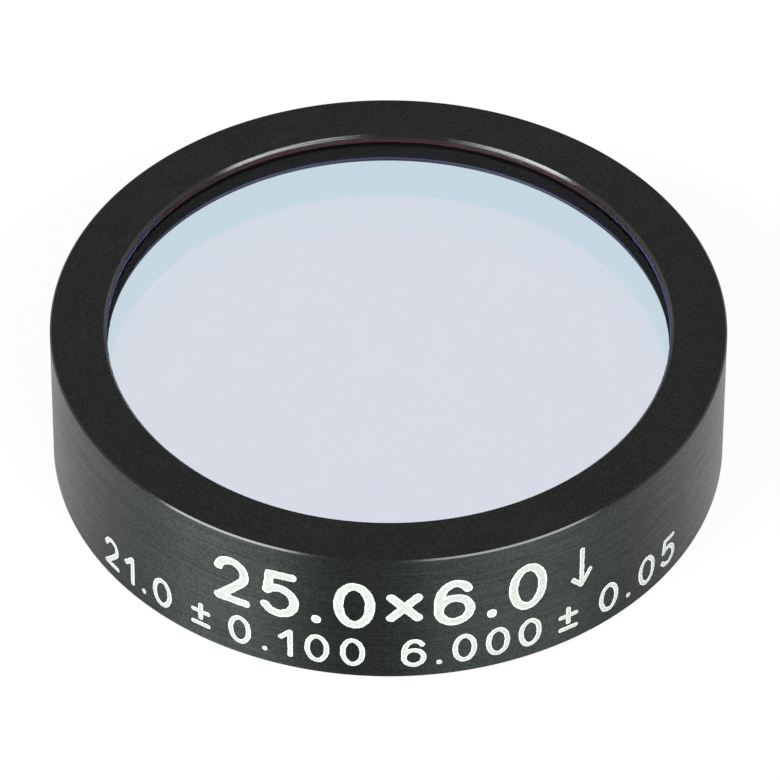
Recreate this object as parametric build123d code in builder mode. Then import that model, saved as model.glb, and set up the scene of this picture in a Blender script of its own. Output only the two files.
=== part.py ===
from build123d import *
import os

# Mounted optical bandpass filter, lying on its rear face. Millimetres.
# The origin is the centre of the rear face, and Z is the optical axis, towards the mirror-like front.

# Turned cup
ring_dia = 25.0
ring_height = 6.0
front_edge_break = 0.085
rear_edge_break = 0.15

# Thin lip round the front aperture
aperture_dia = 20.84
lip_thickness = 0.3
lip_edge_radius = 0.1

# Bore for the glass, and the wider seat behind it for the retaining ring
bore_dia = 23.0
seat_dia = 23.5
seat_depth = 1.0
seat_edge_break = 0.08

# Laminated glass, from the front plate to the rear one
plate_dia = 22.7
plate_bevel = 0.1
cement_thickness = 0.02
cover_thickness = 0.76
bandpass_thickness = 1.72
blocking_thickness = 1.08
colour_thickness = 1.08

# Retaining ring
retainer_aperture_dia = 21.0
retainer_recess = 0.1
retainer_rear_chamfer = 0.2
retainer_lead_in = 0.1

# Bead of sealant in the corner of the lip and the front plate
bead_height = 0.13
bead_width = 0.06

ring_radius = ring_dia / 2
aperture_radius = aperture_dia / 2
bore_radius = bore_dia / 2
seat_radius = seat_dia / 2
plate_radius = plate_dia / 2
retainer_aperture_radius = retainer_aperture_dia / 2
glass_front_z = ring_height - lip_thickness

os.makedirs("parts", exist_ok=True)


def save(piece, name):
    piece.label = name
    export_step(piece, f"parts/{name}.step")


def circles_at(builder, level):
    """The circular edges of a turned piece that lie at one height, from the smallest to the largest."""
    circles = builder.edges().filter_by(GeomType.CIRCLE).filter_by_position(Axis.Z, level - 0.001, level + 0.001)
    return circles.sort_by(SortBy.RADIUS)


# Housing ring: one turning, with the lip left at the front, the bore, and the seat at the rear
with BuildPart() as housing_ring:
    with BuildSketch(Plane.XZ):
        with BuildLine():
            Polyline(
                (seat_radius, 0),
                (ring_radius, 0),
                (ring_radius, ring_height),
                (aperture_radius, ring_height),
                (aperture_radius, glass_front_z),
                (bore_radius, glass_front_z),
                (bore_radius, seat_depth),
                (seat_radius, seat_depth),
                close=True,
            )
        make_face()
    revolve(axis=Axis.Z)
    chamfer(circles_at(housing_ring, ring_height)[-1], front_edge_break)
    chamfer(circles_at(housing_ring, 0)[-1], rear_edge_break)
    chamfer(circles_at(housing_ring, 0)[0], seat_edge_break)
    fillet(circles_at(housing_ring, ring_height)[0], lip_edge_radius)
save(housing_ring.part, "housing_ring")


def glass_plate(top_z, thickness):
    """A round plate with both edges bevelled, its front face at top_z."""
    with BuildPart() as plate:
        with BuildSketch(Plane.XY.offset(top_z - thickness)):
            Circle(plate_radius)
        extrude(amount=thickness)
        chamfer(plate.edges().filter_by(GeomType.CIRCLE), plate_bevel)
    return plate.part


def cement_layer(top_z, thickness):
    """The clear film between two plates, as wide as their flat faces."""
    with BuildPart() as layer:
        with BuildSketch(Plane.XY.offset(top_z - thickness)):
            Circle(plate_radius - plate_bevel)
        extrude(amount=thickness)
    return layer.part


# Glass stack: four plates cemented face to face, hanging down from the underside of the lip
stack_order = [
    ("cover_glass", glass_plate, cover_thickness),
    ("front_cement", cement_layer, cement_thickness),
    ("bandpass_glass", glass_plate, bandpass_thickness),
    ("middle_cement", cement_layer, cement_thickness),
    ("blocking_glass", glass_plate, blocking_thickness),
    ("rear_cement", cement_layer, cement_thickness),
    ("colour_glass", glass_plate, colour_thickness),
]
stack = []
level = glass_front_z
for name, make, thickness in stack_order:
    layer = make(level, thickness)
    save(layer, name)
    stack.append(layer)
    level -= thickness
glass_rear_z = level

# Edge sealant: poured round the stack, it fills the bore and the grooves between the bevelled plates
with BuildPart() as edge_sealant:
    with BuildSketch(Plane.XY.offset(glass_rear_z)):
        Circle(bore_radius)
        Circle(plate_radius - plate_bevel, mode=Mode.SUBTRACT)
    extrude(amount=glass_front_z - glass_rear_z)
    add(stack, mode=Mode.SUBTRACT)
save(edge_sealant.part, "edge_sealant")

# Lip bead: what the lip squeezed out on to the front plate, a slim triangle in section
with BuildPart() as lip_bead:
    with BuildSketch(Plane.XZ):
        with BuildLine():
            Polyline(
                (aperture_radius - bead_width, glass_front_z),
                (aperture_radius, glass_front_z),
                (aperture_radius, glass_front_z + bead_height),
                close=True,
            )
        make_face()
    revolve(axis=Axis.Z)
save(lip_bead.part, "lip_bead")

# Retaining ring: pressed into the seat from the rear until it meets the last plate
with BuildPart() as retaining_ring:
    with BuildSketch(Plane.XY.offset(retainer_recess)):
        Circle(seat_radius)
        Circle(retainer_aperture_radius, mode=Mode.SUBTRACT)
    extrude(amount=glass_rear_z - retainer_recess)
    chamfer(circles_at(retaining_ring, glass_rear_z)[-1], retainer_lead_in)
    chamfer(circles_at(retaining_ring, retainer_recess)[0], retainer_rear_chamfer)
save(retaining_ring.part, "retaining_ring")
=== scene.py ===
import math

import bmesh
import bpy
from mathutils import Matrix, Vector


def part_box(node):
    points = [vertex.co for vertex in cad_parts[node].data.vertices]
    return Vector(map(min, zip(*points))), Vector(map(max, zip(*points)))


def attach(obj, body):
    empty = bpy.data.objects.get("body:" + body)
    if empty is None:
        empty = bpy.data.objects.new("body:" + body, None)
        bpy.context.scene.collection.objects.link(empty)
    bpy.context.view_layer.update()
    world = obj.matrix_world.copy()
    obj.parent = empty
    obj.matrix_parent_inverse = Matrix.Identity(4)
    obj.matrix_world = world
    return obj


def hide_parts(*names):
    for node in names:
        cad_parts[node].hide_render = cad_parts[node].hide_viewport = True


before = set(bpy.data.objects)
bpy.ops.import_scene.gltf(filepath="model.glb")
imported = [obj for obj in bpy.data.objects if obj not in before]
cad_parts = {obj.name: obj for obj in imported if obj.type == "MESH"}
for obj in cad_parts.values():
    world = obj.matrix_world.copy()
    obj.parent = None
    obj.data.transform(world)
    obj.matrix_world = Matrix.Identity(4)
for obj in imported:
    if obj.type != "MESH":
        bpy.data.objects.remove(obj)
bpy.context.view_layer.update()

mm = 0.001


# Housing ring: one turning in aluminium, black anodised. A thin lip is left at the front, and the bore
# behind it takes the glass. The rim keeps fine turning lines, and the flat front face is a little matter.

ring_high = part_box("housing_ring")[1]
rim_radius = ring_high.x
front_z = ring_high.z
mark_height = 0.009 * mm
rim_visible_radius = rim_radius - mark_height - 0.001 * mm
front_edge_break = 0.06 * mm
rear_edge_break = 0.15 * mm
lip_edge_break = 0.09 * mm
aperture_radius = 10.42 * mm
bore_radius = 11.5 * mm
seat_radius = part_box("retaining_ring")[1].x
seat_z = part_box("retaining_ring")[1].z
seat_edge_break = 0.08 * mm
glass_front_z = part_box("cover_glass")[1].z
turning_segments = 360
guide_radius = 5 * mm
weld_distance = 0.0001 * mm


class Signal:
    """A value that leaves a node's socket. An expression on it adds the Math nodes that work it out."""

    def __init__(self, graph, socket):
        self.graph = graph
        self.socket = socket

    def worked_out(self, operation, *terms):
        return self.graph.node("ShaderNodeMath", {"operation": operation}, dict(enumerate(terms)))

    def __add__(self, other):
        return self.worked_out("ADD", self, other)

    def __sub__(self, other):
        return self.worked_out("SUBTRACT", self, other)

    def __rsub__(self, other):
        return self.worked_out("SUBTRACT", other, self)

    def __mul__(self, other):
        return self.worked_out("MULTIPLY", self, other)

    def __truediv__(self, other):
        return self.worked_out("DIVIDE", self, other)

    def __rtruediv__(self, other):
        return self.worked_out("DIVIDE", other, self)

    def __pow__(self, other):
        return self.worked_out("POWER", self, other)

    def __lt__(self, other):
        return self.worked_out("LESS_THAN", self, other)

    def __gt__(self, other):
        return self.worked_out("GREATER_THAN", self, other)

    __radd__ = __add__
    __rmul__ = __mul__


class Graph:
    """A node tree under construction, of a material or of geometry."""

    def __init__(self, tree):
        self.tree = tree

    def node(self, kind, settings=None, inputs=None, output=0):
        """Adds a node, makes its settings, fills its inputs with values or links, and gives one output."""
        made = self.tree.nodes.new(kind)
        for name, value in (settings or {}).items():
            setattr(made, name, value)
        for key, value in (inputs or {}).items():
            if isinstance(value, Signal):
                self.tree.links.new(value.socket, made.inputs[key])
            else:
                made.inputs[key].default_value = value
        return Signal(self, made.outputs[output])

    def low(self, first, second):
        return self.node("ShaderNodeMath", {"operation": "MINIMUM"}, {0: first, 1: second})

    def high(self, first, second):
        return self.node("ShaderNodeMath", {"operation": "MAXIMUM"}, {0: first, 1: second})

    def ramp(self, value, start, end, low=0.0, high=1.0):
        """A smooth change from low to high as value goes from start to end."""
        settings = {"interpolation_type": "SMOOTHSTEP"}
        return self.node("ShaderNodeMapRange", settings, {0: value, 1: start, 2: end, 3: low, 4: high})

    def blend(self, factor, first, second):
        """A mix of two colours."""
        settings = {"data_type": "RGBA", "clamp_factor": True}
        return self.node("ShaderNodeMix", settings, {"Factor": factor, 6: first, 7: second}, output=2)

    def grain(self, vector, scale, detail=2.0, roughness=0.5):
        """Noise between 0 and 1."""
        values = {"Vector": vector, "Scale": scale, "Detail": detail, "Roughness": roughness}
        return self.node("ShaderNodeTexNoise", {"noise_dimensions": "3D"}, values)

    def vector(self, x, y, z):
        return self.node("ShaderNodeCombineXYZ", inputs={0: x, 1: y, 2: z})


def new_finish(name):
    """An empty material and its graph."""
    finish = bpy.data.materials.new(name)
    finish.use_nodes = True
    finish.node_tree.nodes.clear()
    return finish, Graph(finish.node_tree)


def surface(graph, shader):
    """Joins the last shader to the material's output."""
    output = graph.tree.nodes.new("ShaderNodeOutputMaterial")
    graph.tree.links.new(shader.socket, output.inputs["Surface"])


def place_on_piece(graph):
    """The point's place on the piece: the whole vector, and x, y, z and the radius from the axis."""
    point = graph.node("ShaderNodeTexCoord", output="Object")
    split = graph.node("ShaderNodeSeparateXYZ", inputs={0: point})
    x, y, z = (Signal(graph, split.socket.node.outputs[i]) for i in range(3))
    radius = (x * x + y * y) ** 0.5
    return point, x, y, z, radius


def anodised_finish(name, tones, roughness, gloss, line_relief, mottle_relief, stretch=0.0, layer=0.0):
    """Black anodising over turning lines and a fine mottle.

    stretch is how far the lines draw out a highlight. With a layer, the tones are those of the dyed metal,
    seen under a clear and smoother oxide layer.
    """
    finish, graph = new_finish(name)
    point, x, y, z, radius = place_on_piece(graph)
    line_pitch = 0.05 * mm
    streak_length = 3.0 * mm
    mottle_size = 0.07 * mm
    cloud_size = 1.6 * mm
    relief_depth = 0.006 * mm
    quarter_turn = 0.25
    around = (x + y * 0.7) / streak_length
    turning_place = graph.vector(radius / line_pitch, z / line_pitch, around)
    turning_lines = graph.grain(turning_place, 1.0, detail=3.0, roughness=0.6)
    mottle = graph.grain(point, 1 / mottle_size, detail=2.0, roughness=0.65)
    cloud = graph.grain(point, 1 / cloud_size, detail=2.0)
    shade = turning_lines * (0.5 * line_relief) + mottle * 0.88 + cloud * 0.12
    line_share = 0.25 * line_relief
    colour = graph.blend(graph.ramp(shade, 0.35 + line_share, 0.68 + line_share), *tones)
    relief = turning_lines * line_relief + mottle * mottle_relief
    bump = graph.node(
        "ShaderNodeBump",
        inputs={"Strength": 0.5, "Distance": relief_depth, "Height": relief},
    )
    inputs = {
        "Base Color": colour,
        "Roughness": roughness + mottle * 0.08 + turning_lines * 0.05,
        "Specular IOR Level": gloss,
        "Anisotropic": stretch,
        "Anisotropic Rotation": quarter_turn,
        "Normal": bump,
    }
    if layer:
        inputs["Metallic"] = 1.0
        inputs["Coat Weight"] = (turning_lines * 1.3 + mottle * 1.3 - 0.4) * layer
        inputs["Coat Roughness"] = 0.28
        inputs["Coat IOR"] = 1.5
    surface(graph, graph.node("ShaderNodeBsdfPrincipled", inputs=inputs))
    return finish


def rounded_outline(corners, steps=5):
    """Points along an outline of (radius, height, rounding) corners, each rounded by an arc of steps parts.

    Each arc has a point close before and after it, so that the flat beside it is shaded flat.
    """
    points = []
    count = len(corners)
    for i, (r, z, rounding) in enumerate(corners):
        here = Vector((r, z))
        if not rounding:
            points.append(here)
            continue
        before = (Vector(corners[i - 1][:2]) - here).normalized()
        after = (Vector(corners[(i + 1) % count][:2]) - here).normalized()
        half_angle = before.angle(after) / 2
        reach = rounding / math.tan(half_angle)
        centre = here + (before + after).normalized() * rounding / math.sin(half_angle)
        start = here + before * reach - centre
        turn = start.angle_signed(here + after * reach - centre)
        points.append(here + before * (reach + 0.2 * rounding))
        for step in range(steps + 1):
            spin = Matrix.Rotation(-turn * step / steps, 2)
            points.append(centre + spin @ start)
        points.append(here + after * (reach + 0.2 * rounding))
    return points


def turning_graph():
    """Geometry nodes that turn an outline about the optical axis, as a lathe does, and may make it uneven."""
    tree = bpy.data.node_groups.new("turn_on_lathe", "GeometryNodeTree")
    for name, kind in (
        ("Outline", "NodeSocketGeometry"),
        ("Segments", "NodeSocketInt"),
        ("Guide Radius", "NodeSocketFloat"),
        ("Weld Distance", "NodeSocketFloat"),
        ("Unevenness", "NodeSocketFloat"),
        ("Lump Size", "NodeSocketFloat"),
        ("Finish", "NodeSocketMaterial"),
    ):
        tree.interface.new_socket(name, in_out="INPUT", socket_type=kind)
    tree.interface.new_socket("Piece", in_out="OUTPUT", socket_type="NodeSocketGeometry")
    graph = Graph(tree)
    entry = tree.nodes.new("NodeGroupInput")
    given = {socket.name: Signal(graph, socket) for socket in entry.outputs if socket.name}

    outline = graph.node("GeometryNodeMeshToCurve", inputs={"Mesh": given["Outline"]})
    circle = graph.node(
        "GeometryNodeCurvePrimitiveCircle",
        inputs={"Resolution": given["Segments"], "Radius": given["Guide Radius"]},
    )
    turned = graph.node("GeometryNodeCurveToMesh", inputs={"Curve": circle, "Profile Curve": outline})
    welded = graph.node(
        "GeometryNodeMergeByDistance", inputs={"Geometry": turned, "Distance": given["Weld Distance"]}
    )
    place = graph.node("GeometryNodeInputPosition")
    lump_scale = 1 / given["Lump Size"]
    lumps = graph.node(
        "ShaderNodeTexNoise",
        {"noise_dimensions": "3D"},
        {"Vector": place, "Scale": lump_scale, "Detail": 3.0, "Roughness": 0.7},
        output="Color",
    )
    centred = graph.node(
        "ShaderNodeVectorMath", {"operation": "SUBTRACT"}, {0: lumps, 1: (0.5, 0.5, 0.5)}
    )
    shift = graph.node(
        "ShaderNodeVectorMath", {"operation": "SCALE"}, {0: centred, "Scale": given["Unevenness"]}
    )
    uneven = graph.node("GeometryNodeSetPosition", inputs={"Geometry": welded, "Offset": shift})
    real = graph.node("GeometryNodeRealizeInstances", inputs={"Geometry": uneven})
    done = graph.node(
        "GeometryNodeSetMaterial", inputs={"Geometry": real, "Material": given["Finish"]}
    )
    leave = tree.nodes.new("NodeGroupOutput")
    tree.links.new(done.socket, leave.inputs[0])
    return tree


def shaped_piece(name, raw_mesh, tree, values, sharp_angle=30):
    """Runs a geometry tree on a mesh and gives the result as a plain object with its faces outwards."""
    piece = bpy.data.objects.new(name, raw_mesh)
    bpy.context.scene.collection.objects.link(piece)
    modifier = piece.modifiers.new("shape", "NODES")
    modifier.node_group = tree
    for socket in tree.interface.items_tree:
        if socket.in_out == "INPUT" and socket.name in values:
            modifier[socket.identifier] = values[socket.name]
    graph = bpy.context.evaluated_depsgraph_get()
    result = bpy.data.meshes.new_from_object(piece.evaluated_get(graph), depsgraph=graph)
    piece.modifiers.remove(modifier)
    piece.data = result
    result.name = name
    bpy.data.meshes.remove(raw_mesh)
    shell = bmesh.new()
    shell.from_mesh(result)
    bmesh.ops.dissolve_degenerate(shell, dist=weld_distance, edges=shell.edges)
    bmesh.ops.recalc_face_normals(shell, faces=shell.faces)
    shell.to_mesh(result)
    shell.free()
    result.shade_smooth()
    result.set_sharp_from_angle(angle=math.radians(sharp_angle))
    return piece


turn_on_lathe = turning_graph()


def turned_piece(
    name, outline, finish, closed=True, segments=turning_segments, unevenness=0.0, lump_size=1.0
):
    """Turns an outline of (radius, height) points about the axis. An open one starts and ends on the axis."""
    raw = bpy.data.meshes.new(name + "_outline")
    points = [(r - guide_radius, -z, 0) for r, z in outline]
    edges = [(i, i + 1) for i in range(len(points) - 1)]
    if closed:
        edges.append((len(points) - 1, 0))
    raw.from_pydata(points, edges, [])
    values = {
        "Segments": segments,
        "Guide Radius": guide_radius,
        "Weld Distance": weld_distance,
        "Unevenness": unevenness,
        "Lump Size": lump_size,
        "Finish": finish,
    }
    return shaped_piece(name, raw, turn_on_lathe, values)


def finish_turned_metal(piece, face_levels):
    """Leaves the rim as turned, and gives the flat faces, the lip, the bores and the edges their finishes.

    face_levels are the heights of the flat faces that show.
    """
    for finish in (matte_face, polished_edge, lip_wall, lip_edge):
        piece.data.materials.append(finish)
    slot_of = {finish.name: index for index, finish in enumerate(piece.data.materials)}
    for face in piece.data.polygons:
        around = Vector(face.center[:2]).length
        level_face = abs(face.normal.z) > 0.999
        upright_face = abs(face.normal.z) < 0.3
        shows = any(abs(face.center.z - level) < flat_tolerance for level in face_levels)
        within_seat = around < seat_radius * 1.001
        below_lip = face.center.z < glass_front_z + 0.01 * mm
        if level_face and shows:
            chosen = "matte_face"
        elif around >= rim_visible_radius * 0.999:
            continue
        elif within_seat and below_lip:
            chosen = "matte_face"
        elif upright_face:
            chosen = "lip_wall"
        elif within_seat:
            chosen = "lip_edge"
        else:
            chosen = "polished_edge"
        face.material_index = slot_of[chosen]


def fitted(piece, slot, *nodes):
    """The piece rides on the part and stands for the CAD nodes. slot is not used."""
    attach(piece, "root")
    if nodes:
        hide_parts(*nodes)
    return piece


rim_tones = ((0.0300, 0.0375, 0.0345, 1), (0.0720, 0.0860, 0.0780, 1))
edge_tones = ((0.0020, 0.0030, 0.0028, 1), (0.0080, 0.0100, 0.0090, 1))
lip_wall_tones = ((0.0040, 0.0032, 0.0040, 1), (0.0140, 0.0100, 0.0120, 1))
face_tones = ((0.0004, 0.0008, 0.0006, 1), (0.0115, 0.0130, 0.0120, 1))
turned_rim = anodised_finish("turned_rim", rim_tones, 0.50, 0.50, 1.0, 0.35, stretch=0.97, layer=1.0)
matte_face = anodised_finish("matte_face", face_tones, 0.50, 0.12, 0.1, 1.0)
polished_edge = anodised_finish("polished_edge", edge_tones, 0.10, 0.38, 0.4, 0.3)
lip_wall = anodised_finish("lip_wall", lip_wall_tones, 0.40, 0.20, 1.0, 1.0)
lip_edge = anodised_finish("lip_edge", edge_tones, 0.03, 0.45, 1.0, 1.3)

edge_rounding = 0.012 * mm
flat_tolerance = 0.001 * mm
lip_underside_z = glass_front_z + 0.003 * mm
housing_corners = [
    (seat_radius + seat_edge_break, 0, edge_rounding),
    (rim_visible_radius - rear_edge_break, 0, edge_rounding),
    (rim_visible_radius, rear_edge_break, edge_rounding),
    (rim_visible_radius, front_z - front_edge_break, edge_rounding),
    (rim_visible_radius - front_edge_break, front_z, edge_rounding),
    (aperture_radius + lip_edge_break, front_z, edge_rounding),
    (aperture_radius, front_z - lip_edge_break, edge_rounding),
    (aperture_radius, lip_underside_z, 0),
    (bore_radius, lip_underside_z, 0),
    (bore_radius, seat_z, 0),
    (seat_radius, seat_z, 0),
    (seat_radius, seat_edge_break, edge_rounding),
]
housing = turned_piece("ring_turning", rounded_outline(housing_corners), turned_rim)
finish_turned_metal(housing, (0, front_z))
fitted(housing, "anodised", "housing_ring")


# Rim marks: plain numbers and a direction arrow, burnt through the black layer with a round point. Each
# stroke is a shallow crowned ribbon on the rim, pale, with a brighter edge where the layer was lifted.

large_height = 1.92 * mm
large_half_width = 0.18 * mm
large_base_z = 2.74 * mm
small_height = 1.20 * mm
small_half_width = 0.10 * mm
small_base_z = 0.72 * mm
arrow_height = 1.75 * mm
arrow_base_z = 2.75 * mm
path_step = 0.03 * mm
wander_size = 0.22 * mm
swell_size = 0.10 * mm
unsteadiness = 0.05 * mm


def straight(*points):
    """A stroke through points in a row, one stroke for each run, so that each corner is round."""
    return [[points[i], points[i + 1]] for i in range(len(points) - 1)]


def bow(cx, cz, rx, rz, start, end):
    """A stroke along part of an ellipse, from one angle to another in degrees."""
    steps = max(6, int(abs(end - start) / 6))
    angles = [math.radians(start + (end - start) * i / steps) for i in range(steps + 1)]
    return [(cx + rx * math.cos(a), cz + rz * math.sin(a)) for a in angles]


# Each sign is its width and its strokes, for a sign one unit high, along the middle of the line.
signs = {
    "0": (0.60, [bow(0.30, 0.5, 0.30, 0.5, 0, 360)]),
    "1": (0.34, straight((0.0, 0.70), (0.30, 1.0), (0.30, 0.0))),
    "2": (0.58, [bow(0.28, 0.70, 0.28, 0.30, 165, -38) + [(0.02, 0.0)]] + straight((0.0, 0.0), (0.58, 0.0))),
    "5": (0.58, straight((0.54, 1.0), (0.10, 1.0), (0.05, 0.56)) + [bow(0.27, 0.33, 0.31, 0.33, 137, -150)]),
    "6": (0.60, [bow(0.32, 0.5, 0.32, 0.5, 42, 180) + [(0.0, 0.34)], bow(0.30, 0.31, 0.30, 0.31, 0, 360)]),
    ".": (0.06, [[(0.03, 0.02), (0.03, 0.05)]]),
    "±": (0.54, straight((0.0, 0.60), (0.54, 0.60)) + straight((0.27, 0.88), (0.27, 0.32))
          + straight((0.0, 0.08), (0.54, 0.08))),
    "×": (0.50, straight((0.0, 0.20), (0.50, 0.74)) + straight((0.50, 0.20), (0.0, 0.74))),
    "↓": (0.42, straight((0.21, 1.0), (0.21, 0.06)) + straight((0.0, 0.22), (0.21, 0.0), (0.42, 0.34))),
    " ": (0.12, []),
}


def row_of_signs(text, left, right, base_z, height):
    """The strokes of a row of signs, spread evenly between two places measured round the rim."""
    widths = [signs[sign][0] * height for sign in text]
    gap = (right - left - sum(widths)) / (len(text) - 1)
    strokes = []
    for sign, width in zip(text, widths):
        for stroke in signs[sign][1]:
            strokes.append([(left + x * height, base_z + z * height) for x, z in stroke])
        left += width + gap
    return strokes


def stroke_mesh(name, strokes, half_width):
    """Flat poly-lines for the strokes. An open one is made longer by the round end at each side."""
    raw = bpy.data.meshes.new(name)
    points, edges = [], []
    for stroke in strokes:
        line = [Vector(p) for p in stroke]
        closed = (line[0] - line[-1]).length < 0.2 * path_step
        if closed:
            line.pop()
        else:
            line[0] = line[0] + (line[0] - line[1]).normalized() * half_width
            line[-1] = line[-1] + (line[-1] - line[-2]).normalized() * half_width
        first = len(points)
        points += [(x, 0, z) for x, z in line]
        edges += [(first + i, first + i + 1) for i in range(len(line) - 1)]
        if closed:
            edges.append((len(points) - 1, first))
    raw.from_pydata(points, edges, [])
    return raw


def engraving_graph():
    """Geometry nodes that lay round-ended strokes on the rim. Each follows a flat path, slightly unsteady."""
    tree = bpy.data.node_groups.new("engrave_on_rim", "GeometryNodeTree")
    for name, kind in (
        ("Paths", "NodeSocketGeometry"),
        ("Half Width", "NodeSocketFloat"),
        ("Step", "NodeSocketFloat"),
        ("Rim Radius", "NodeSocketFloat"),
        ("Mark Height", "NodeSocketFloat"),
        ("Unsteadiness", "NodeSocketFloat"),
        ("Finish", "NodeSocketMaterial"),
    ):
        tree.interface.new_socket(name, in_out="INPUT", socket_type=kind)
    tree.interface.new_socket("Marks", in_out="OUTPUT", socket_type="NodeSocketGeometry")
    graph = Graph(tree)
    entry = tree.nodes.new("NodeGroupInput")
    given = {socket.name: Signal(graph, socket) for socket in entry.outputs if socket.name}
    half_width = given["Half Width"]

    paths = graph.node("GeometryNodeMeshToCurve", inputs={"Mesh": given["Paths"]})
    paths = graph.node(
        "GeometryNodeResampleCurve", {"mode": "LENGTH"}, {"Curve": paths, "Length": given["Step"]}
    )
    along = graph.node("GeometryNodeSplineParameter", output="Length")
    total = graph.node("GeometryNodeSplineLength")
    ring = graph.node("GeometryNodeInputSplineCyclic")
    to_end = graph.low(along, total - along) / half_width
    inset = 1 - graph.low(to_end, 1.0)
    cap = graph.high(graph.high(1 - inset * inset, 0.0) ** 0.5, ring)
    place = graph.node("GeometryNodeInputPosition")
    wander = graph.node(
        "ShaderNodeTexNoise",
        {"noise_dimensions": "3D"},
        {"Vector": place, "Scale": 1 / wander_size, "Detail": 2.0},
        output="Color",
    )
    centred = graph.node(
        "ShaderNodeVectorMath", {"operation": "SUBTRACT"}, {0: wander, 1: (0.5, 0.5, 0.5)}
    )
    shift = graph.node(
        "ShaderNodeVectorMath", {"operation": "SCALE"}, {0: centred, "Scale": given["Unsteadiness"]}
    )
    flat_shift = graph.node("ShaderNodeVectorMath", {"operation": "MULTIPLY"}, {0: shift, 1: (1, 0, 1)})
    paths = graph.node("GeometryNodeSetPosition", inputs={"Geometry": paths, "Offset": flat_shift})
    swell = 0.80 + graph.grain(place, 1 / swell_size, detail=2.0) * 0.40
    width = cap * half_width * swell
    round_point = graph.node("GeometryNodeCurvePrimitiveCircle", inputs={"Resolution": 16, "Radius": 1.0})
    strokes = graph.node(
        "GeometryNodeCurveToMesh",
        inputs={"Curve": paths, "Profile Curve": round_point, "Scale": width, "Fill Caps": True},
    )
    split = graph.node("ShaderNodeSeparateXYZ", inputs={0: graph.node("GeometryNodeInputPosition")})
    x, y, z = (Signal(graph, split.socket.node.outputs[i]) for i in range(3))
    crown = y * -1 / half_width
    strokes = graph.node(
        "GeometryNodeStoreNamedAttribute",
        {"data_type": "FLOAT", "domain": "POINT"},
        {"Geometry": strokes, "Name": "crown", "Value": crown},
    )
    angle = x / given["Rim Radius"]
    reach = given["Rim Radius"] + crown * given["Mark Height"]
    sine = graph.node("ShaderNodeMath", {"operation": "SINE"}, {0: angle})
    cosine = graph.node("ShaderNodeMath", {"operation": "COSINE"}, {0: angle})
    on_rim = graph.vector(sine * reach, cosine * reach * -1, z)
    strokes = graph.node("GeometryNodeSetPosition", inputs={"Geometry": strokes, "Position": on_rim})
    real = graph.node("GeometryNodeRealizeInstances", inputs={"Geometry": strokes})
    done = graph.node(
        "GeometryNodeSetMaterial", inputs={"Geometry": real, "Material": given["Finish"]}
    )
    leave = tree.nodes.new("NodeGroupOutput")
    tree.links.new(done.socket, leave.inputs[0])
    return tree


def engraved_finish():
    """Pale burnt metal: whitest along the edges of a stroke, a speckled light grey along its middle."""
    finish, graph = new_finish("burnt_marks")
    point, x, y, z, radius = place_on_piece(graph)
    crown = graph.node("ShaderNodeAttribute", {"attribute_name": "crown"}, output="Fac")
    speckle_size = 0.05 * mm
    stroke_edge_tone = (0.74, 0.77, 0.74, 1)
    stroke_middle_tone = (0.40, 0.45, 0.40, 1)
    speckle = graph.grain(point, 1 / speckle_size, detail=2.0, roughness=0.6)
    middle = graph.ramp(crown, 0.60, 0.88) * (speckle * 3.0 - 0.7)
    colour = graph.blend(middle, stroke_edge_tone, stroke_middle_tone)
    bump = graph.node(
        "ShaderNodeBump", inputs={"Strength": 0.3, "Distance": 0.004 * mm, "Height": speckle}
    )
    shader = graph.node(
        "ShaderNodeBsdfPrincipled",
        inputs={
            "Base Color": colour,
            "Roughness": 0.75 + speckle * 0.1,
            "Specular IOR Level": 0.3,
            "Normal": bump,
        },
    )
    surface(graph, shader)
    return finish


engrave_on_rim = engraving_graph()
burnt_marks = engraved_finish()


def marks_on_rim(name, strokes, half_width):
    values = {
        "Half Width": half_width,
        "Step": path_step,
        "Rim Radius": rim_visible_radius,
        "Mark Height": mark_height,
        "Unsteadiness": unsteadiness,
        "Finish": burnt_marks,
    }
    marks = shaped_piece(name, stroke_mesh(name + "_paths", strokes, half_width), engrave_on_rim, values, 80)
    return fitted(marks, "engraving")


large_strokes = row_of_signs("25.0×6.0", -6.4 * mm, 5.8 * mm, large_base_z, large_height)
marks_on_rim("large_marks", large_strokes, large_half_width)
arrow_strokes = row_of_signs("↓ ", 7.1 * mm, 8.3 * mm, arrow_base_z, arrow_height)
marks_on_rim("arrow_mark", arrow_strokes, small_half_width)
small_strokes = []
for text, left, right in (
    ("21.0", -12.1 * mm, -8.6 * mm),
    ("± ", -7.5 * mm, -6.6 * mm),
    ("0.100", -5.9 * mm, -0.9 * mm),
    ("6.000", 0.6 * mm, 5.7 * mm),
    ("± ", 6.6 * mm, 7.5 * mm),
    ("0.05", 8.4 * mm, 12.4 * mm),
):
    small_strokes += row_of_signs(text, left, right, small_base_z, small_height)
marks_on_rim("small_marks", small_strokes, small_half_width)


# Cover glass: the front plate, bevelled and polished. Its front face has an antireflection coating, and
# its underside the first mirror coating, which sends back pale cyan and lets a little light through.

glass_ior = 1.52
plate_bevel = 0.1 * mm
clear = (1, 1, 1, 1)
upper_coating_mirror = (0.562, 0.686, 0.761, 1)
upper_coating_passes = (0.43, 0.31, 0.23, 1)


def let_lamps_through(graph, shader, tint=clear):
    """Light on its way from a lamp goes straight through, as it would through thin glass."""
    shadow_ray = graph.node("ShaderNodeLightPath", output="Is Shadow Ray")
    straight_on = graph.node("ShaderNodeBsdfTransparent", inputs={"Color": tint})
    return graph.node("ShaderNodeMixShader", inputs={0: shadow_ray, 1: shader, 2: straight_on})


def bent_light(graph, tint=clear):
    return graph.node(
        "ShaderNodeBsdfRefraction", inputs={"Color": tint, "Roughness": 0.0, "IOR": glass_ior}
    )


def mirror(graph, tint=clear, roughness=0.0):
    return graph.node("ShaderNodeBsdfGlossy", inputs={"Color": tint, "Roughness": roughness})


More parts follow.
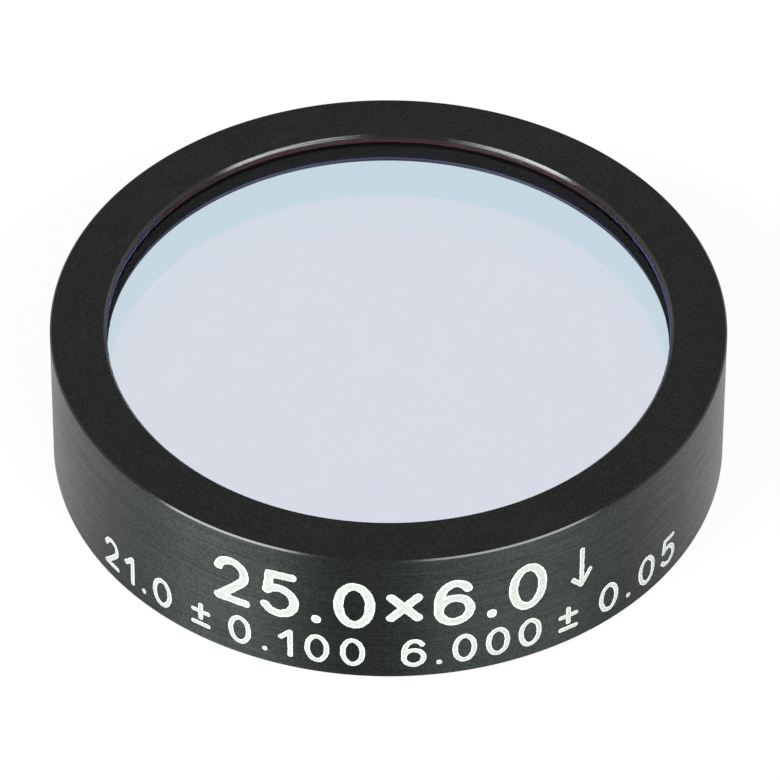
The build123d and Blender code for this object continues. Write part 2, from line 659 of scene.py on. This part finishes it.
def polished_face(name, tint=clear, reflects=1.0):
    """A polished glass face. reflects is the share of bare glass's reflection that a coating leaves."""
    finish, graph = new_finish(name)
    fresnel = graph.node("ShaderNodeFresnel", inputs={"IOR": glass_ior})
    shader = graph.node(
        "ShaderNodeMixShader",
        inputs={0: fresnel * reflects, 1: bent_light(graph, tint), 2: mirror(graph)},
    )
    surface(graph, let_lamps_through(graph, shader))
    return finish


def part_mirror_face(name, reflected, passed):
    """A face with a coating that reflects one tint and lets another through."""
    finish, graph = new_finish(name)
    shader = graph.node(
        "ShaderNodeAddShader", inputs={0: mirror(graph, reflected), 1: bent_light(graph, passed)}
    )
    surface(graph, shader)
    return finish


def sealant_finish(name, colour, gloss_roughness, painted_sheen=None):
    """Black silicone, smooth, with a soft gloss and shallow ripples. Its tone at a slant can be a painted
    reflection.
    """
    finish, graph = new_finish(name)
    point, x, y, z, radius = place_on_piece(graph)
    ripple_size = 0.25 * mm
    ripple = graph.grain(point, 1 / ripple_size, detail=3.0)
    lighter = tuple(c * 1.6 for c in colour[:3]) + (1,)
    tone = graph.blend(ripple, colour, lighter)
    if painted_sheen:
        # Painted reflection: a tone that the sealant takes at a slant.
        slant = graph.node("ShaderNodeLayerWeight", inputs={"Blend": 0.5}, output="Facing")
        tone = graph.blend(graph.ramp(slant, 0.30, 0.60), tone, painted_sheen)
    bump = graph.node(
        "ShaderNodeBump", inputs={"Strength": 0.4, "Distance": 0.02 * mm, "Height": ripple}
    )
    shader = graph.node(
        "ShaderNodeBsdfPrincipled",
        inputs={
            "Base Color": tone,
            "Roughness": gloss_roughness + ripple * 0.15,
            "Specular IOR Level": 0.2,
            "Normal": bump,
        },
    )
    surface(graph, shader)
    return finish


def glass_plate(node, edge_finish, front_finish, rear_finish):
    """A round plate with both edges bevelled, as large as its CAD node, with a finish for each face."""
    low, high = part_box(node)
    radius = high.x
    outline = [
        (0, high.z),
        (radius - plate_bevel, high.z),
        (radius, high.z - plate_bevel),
        (radius, low.z + plate_bevel),
        (radius - plate_bevel, low.z),
        (0, low.z),
    ]
    plate = turned_piece(node + "_plate", outline, edge_finish, closed=False)
    plate.data.materials.append(front_finish)
    plate.data.materials.append(rear_finish)
    front_slot, rear_slot = 1, 2
    for face in plate.data.polygons:
        if face.normal.z > 0.99:
            face.material_index = front_slot
        elif face.normal.z < -0.99:
            face.material_index = rear_slot
    return plate


front_face = polished_face("antireflection_coated_face", reflects=0.25)
ground_edge = sealant_finish("ground_edge_in_sealant", (0.022, 0.024, 0.023, 1), 0.85)
upper_coating = part_mirror_face("upper_mirror_coating", upper_coating_mirror, upper_coating_passes)
cover = glass_plate("cover_glass", ground_edge, front_face, upper_coating)
fitted(cover, "coated_glass", "cover_glass")


# Optical cement: three clear films that join the plates face to face. They match the glass, so that
# nothing is reflected where they meet it.

film_clearance = 0.003 * mm


def cement_finish():
    finish, graph = new_finish("clear_cement")
    point, x, y, z, radius = place_on_piece(graph)
    unevenness_size = 6 * mm
    thickness = graph.grain(point, 1 / unevenness_size, detail=1.0)
    thin = graph.node("ShaderNodeBsdfTransparent", inputs={"Color": (0.998, 0.998, 0.995, 1)})
    thick = graph.node("ShaderNodeBsdfTransparent", inputs={"Color": (0.99, 0.988, 0.975, 1)})
    surface(graph, graph.node("ShaderNodeMixShader", inputs={0: thickness, 1: thin, 2: thick}))
    return finish


clear_cement = cement_finish()
for film_node in ("front_cement", "middle_cement", "rear_cement"):
    film_low, film_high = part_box(film_node)
    film_outline = [
        (0, film_high.z - film_clearance),
        (film_high.x, film_high.z - film_clearance),
        (film_high.x, film_low.z + film_clearance),
        (0, film_low.z + film_clearance),
    ]
    film = turned_piece(film_node + "_film", film_outline, clear_cement, closed=False)
    fitted(film, "cement", film_node)


# Bandpass glass: the thick plate behind the cover. The filter's own coating is on its underside, a full
# mirror to most colours, so it sends a reddish light back from deeper down, and nothing shows through it.

lower_coating_front = (0.50, 0.22, 0.52, 1)
lower_coating_rear = (0.62, 0.34, 0.24, 1)


def full_mirror_face(name, from_front, from_rear):
    """The coating on the underside of a plate, with the tint that it sends back to each side."""
    finish, graph = new_finish(name)
    inside = graph.node("ShaderNodeNewGeometry", output="Backfacing")
    shader = graph.node(
        "ShaderNodeMixShader", inputs={0: inside, 1: mirror(graph, from_rear), 2: mirror(graph, from_front)}
    )
    surface(graph, shader)
    return finish


joined_finish, joined_graph = new_finish("cemented_glass_face")
surface(joined_graph, let_lamps_through(joined_graph, bent_light(joined_graph)))
bandpass_coating = full_mirror_face("bandpass_coating", lower_coating_front, lower_coating_rear)
bandpass = glass_plate("bandpass_glass", ground_edge, joined_finish, bandpass_coating)
fitted(bandpass, "coated_glass", "bandpass_glass")


# Blocking glass: a plain clear plate. The coating on its underside stops the colours outside the band,
# and is the mirror that the rear of the filter shows through the red glass.

blocking_coating_front = (0.50, 0.52, 0.55, 1)
blocking_coating_rear = (0.88, 0.80, 0.70, 1)
blocking_coating = full_mirror_face("blocking_coating", blocking_coating_front, blocking_coating_rear)
blocking = glass_plate("blocking_glass", ground_edge, joined_finish, blocking_coating)
fitted(blocking, "blocking_glass", "blocking_glass")


# Colour glass: the rear plate, deep red all through. It is cemented to the blocking glass, polished and
# left bare on its rear face, and the retaining ring bears on it.

red_tint = (0.70, 0.035, 0.02, 1)
red_front, red_graph = new_finish("red_glass_front_face")
surface(red_graph, let_lamps_through(red_graph, bent_light(red_graph, red_tint)))
red_rear = polished_face("red_glass_rear_face", red_tint)
colour_plate = glass_plate("colour_glass", red_rear, red_front, red_rear)
fitted(colour_plate, "red_glass", "colour_glass")


# Edge sealant: black silicone poured round the stack in the bore, which runs into the grooves between
# the bevelled edges and keeps stray light out.

sealant_clearance = 0.004 * mm
sealant_outline = [(bore_radius - sealant_clearance, glass_front_z - sealant_clearance)]
for plate_node in ("cover_glass", "bandpass_glass", "blocking_glass", "colour_glass"):
    plate_low, plate_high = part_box(plate_node)
    groove_radius = plate_high.x - plate_bevel + sealant_clearance
    wall_radius = plate_high.x + sealant_clearance
    sealant_outline += [
        (groove_radius, plate_high.z - sealant_clearance),
        (wall_radius, plate_high.z - plate_bevel - sealant_clearance),
        (wall_radius, plate_low.z + plate_bevel + sealant_clearance),
        (groove_radius, plate_low.z + sealant_clearance),
    ]
sealant_outline.append((bore_radius - sealant_clearance, seat_z + sealant_clearance))
black_sealant = sealant_finish("black_sealant", (0.006, 0.0055, 0.0055, 1), 0.8)
fitted(turned_piece("sealant_round_stack", sealant_outline, black_sealant), "sealant", "edge_sealant")


# Lip bead: the same sealant, squeezed out in the corner between the lip and the cover glass as a thin,
# ragged line. Its dull red cast is painted red light, as from the red glass, and its blue at a slant is a
# painted reflection. Its back runs a little way into the wall of the lip, out of sight.

bead_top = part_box("lip_bead")[1].z
bead_foot = glass_front_z + 0.010 * mm
bead_back = aperture_radius + 0.020 * mm
bead_outline = [
    (aperture_radius - 0.040 * mm, bead_foot),
    (aperture_radius - 0.036 * mm, glass_front_z + 0.030 * mm),
    (aperture_radius - 0.014 * mm, bead_top - 0.035 * mm),
    (bead_back, bead_top - 0.020 * mm),
    (bead_back, bead_foot),
]
# Painted light: the red in the bead's tone stands for light from the red glass, and the blue at a slant for a
# reflection.
bead_tone_with_painted_red_light = (0.022, 0.005, 0.006, 1)
bead_painted_blue_reflection = (0.045, 0.055, 0.160, 1)
bead_finish = sealant_finish("lip_bead_sealant", bead_tone_with_painted_red_light, 0.60, bead_painted_blue_reflection)
bead = turned_piece(
    "squeezed_bead",
    bead_outline,
    bead_finish,
    segments=1200,
    unevenness=0.06 * mm,
    lump_size=0.22 * mm,
)
fitted(bead, "sealant", "lip_bead")


# Retaining ring: turned and anodised like the housing, and pressed into the seat behind the glass.

retainer_low, retainer_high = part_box("retaining_ring")
retainer_aperture = 10.5 * mm
retainer_chamfer = 0.2 * mm
retainer_lead_in = 0.1 * mm
press_clearance = 0.002 * mm
retainer_corners = [
    (retainer_high.x - press_clearance, retainer_low.z, edge_rounding),
    (retainer_high.x - press_clearance, retainer_high.z - retainer_lead_in, 0),
    (retainer_high.x - retainer_lead_in, retainer_high.z - press_clearance, 0),
    (retainer_aperture, retainer_high.z - press_clearance, 0),
    (retainer_aperture, retainer_low.z + retainer_chamfer, edge_rounding),
    (retainer_aperture + retainer_chamfer, retainer_low.z, edge_rounding),
]
retainer = turned_piece("rear_retainer", rounded_outline(retainer_corners), turned_rim)
finish_turned_metal(retainer, (retainer_low.z,))
fitted(retainer, "anodised", "retaining_ring")


# Floor: a plain pale table. It is clear from below and under the filter, so that the rear can be looked at.

floor_size = 6.0


def floor_finish():
    """Pale paper, white to the camera but for the shadow. In the filter's mirrors it is a glow of painted
    shade, dim to the front.
    """
    finish, graph = new_finish("pale_floor")
    point, x, y, z, radius = place_on_piece(graph)
    path = graph.tree.nodes.new("ShaderNodeLightPath")
    reflected = graph.high(
        Signal(graph, path.outputs["Is Glossy Ray"]), Signal(graph, path.outputs["Is Transmission Ray"])
    )
    seen_white = Signal(graph, path.outputs["Is Camera Ray"]) * 0.90
    paper = graph.node("ShaderNodeBsdfDiffuse", inputs={"Color": (0.93, 0.93, 0.93, 1)})
    bright = graph.node("ShaderNodeEmission", inputs={"Color": clear, "Strength": 1.0})
    direct = graph.node("ShaderNodeMixShader", inputs={0: seen_white, 1: paper, 2: bright})
    # Painted shade: what the filter mirrors of the floor glows, darkest in front of the ring, where its
    # shadow falls.
    to_the_back = y / radius
    front_to_side = graph.ramp(to_the_back, -1.0, -0.2, 0.18, 0.58)
    side_to_back = graph.ramp(to_the_back, 0.0, 0.9, 0.0, 0.35)
    level = front_to_side + side_to_back
    mirrored_painted_shade_tone = graph.node("ShaderNodeCombineColor", inputs={0: level, 1: level, 2: level})
    mirrored_painted_shade = graph.node("ShaderNodeEmission", inputs={"Color": mirrored_painted_shade_tone, "Strength": 1.0})
    shader = graph.node("ShaderNodeMixShader", inputs={0: reflected, 1: direct, 2: mirrored_painted_shade})
    from_below = graph.node("ShaderNodeNewGeometry", output="Backfacing")
    open_to_below = graph.high(from_below, radius < seat_radius)
    nothing = graph.node("ShaderNodeBsdfTransparent")
    surface(graph, graph.node("ShaderNodeMixShader", inputs={0: open_to_below, 1: shader, 2: nothing}))
    return finish


floor_mesh = bpy.data.meshes.new("floor")
half = floor_size / 2
floor_corners = [(-half, -half, 0), (half, -half, 0), (half, half, 0), (-half, half, 0)]
floor_mesh.from_pydata(floor_corners, [], [(0, 1, 2, 3)])
floor_mesh.materials.append(floor_finish())
floor = bpy.data.objects.new("floor", floor_mesh)
bpy.context.scene.collection.objects.link(floor)


# Studio: a surround that is white to the camera, and two long soft lamps in front, to the right and to
# the left. What the filter mirrors of the surround dims to the front, as with the floor.

surround = bpy.data.worlds.new("white_surround")
surround.use_nodes = True
surround.node_tree.nodes.clear()
sky = Graph(surround.node_tree)
sky_path = sky.tree.nodes.new("ShaderNodeLightPath")
sky_reflected = sky.high(
    Signal(sky, sky_path.outputs["Is Glossy Ray"]), Signal(sky, sky_path.outputs["Is Transmission Ray"])
)
direction = sky.node("ShaderNodeTexCoord", output="Generated")
direction_parts = sky.node("ShaderNodeSeparateXYZ", inputs={0: direction})
to_the_back = Signal(sky, direction_parts.socket.node.outputs[1])
ambient_level = 0.3
front_level = 0.35
mirrored_level = sky.ramp(to_the_back, -0.75, 0.2, front_level, 1.0)
level = ambient_level + sky_reflected * (mirrored_level - ambient_level)
level = sky.high(level, Signal(sky, sky_path.outputs["Is Camera Ray"]))
sky_shader = sky.node("ShaderNodeBackground", inputs={"Color": clear, "Strength": level})
sky_output = sky.tree.nodes.new("ShaderNodeOutputWorld")
sky.tree.links.new(sky_shader.socket, sky_output.inputs["Surface"])
bpy.context.scene.world = surround

lamp_distance = 0.6


def soft_lamp(name, azimuth, elevation, width, height, radiance):
    """A flat lamp that faces the filter. Azimuth is measured to the right of the front, in degrees."""
    light = bpy.data.lights.new(name, "AREA")
    light.shape = "RECTANGLE"
    light.size = width
    light.size_y = height
    light.energy = radiance * math.pi * width * height
    lamp = bpy.data.objects.new(name, light)
    bpy.context.scene.collection.objects.link(lamp)
    a, e = math.radians(azimuth), math.radians(elevation)
    away = Vector((math.sin(a) * math.cos(e), -math.cos(a) * math.cos(e), math.sin(e)))
    lamp.location = away * lamp_distance
    lamp.rotation_euler = away.to_track_quat("Z", "Y").to_euler()


soft_lamp("right_softbox", 40, 40, 0.46, 0.17, 13)
soft_lamp("left_softbox", -53, 38, 0.37, 0.17, 18)


# Camera: as in the photograph, 300 mm from the front face and 43 degrees above it.

camera_distance = 300 * mm
camera_elevation = math.radians(43.0)
aim_pitch = math.radians(0.469)
aim_yaw = math.radians(0.012)
aim_roll = math.radians(0.22)
focal_length = 375.5

lens = bpy.data.cameras.new("camera")
lens.sensor_width = 36
lens.sensor_fit = "HORIZONTAL"
lens.lens = focal_length
lens.clip_start = 0.01
lens.clip_end = 100
camera = bpy.data.objects.new("camera", lens)
bpy.context.scene.collection.objects.link(camera)
bpy.context.scene.camera = camera

tilt = camera_elevation + aim_pitch
forward = Vector((0, math.cos(tilt), -math.sin(tilt)))
right = Vector((1, 0, 0))
up = Vector((0, math.sin(tilt), math.cos(tilt)))
turned_forward = forward * math.cos(aim_yaw) + right * math.sin(aim_yaw)
turned_right = right * math.cos(aim_yaw) - forward * math.sin(aim_yaw)
camera_right = turned_right * math.cos(aim_roll) + up * math.sin(aim_roll)
camera_up = up * math.cos(aim_roll) - turned_right * math.sin(aim_roll)
axes = Matrix((camera_right, camera_up, -turned_forward)).transposed()
place = Vector(
    (0, -camera_distance * math.cos(camera_elevation), front_z + camera_distance * math.sin(camera_elevation))
)
camera.matrix_world = Matrix.Translation(place) @ axes.to_4x4()
bpy.context.scene.view_settings.view_transform = "Standard"
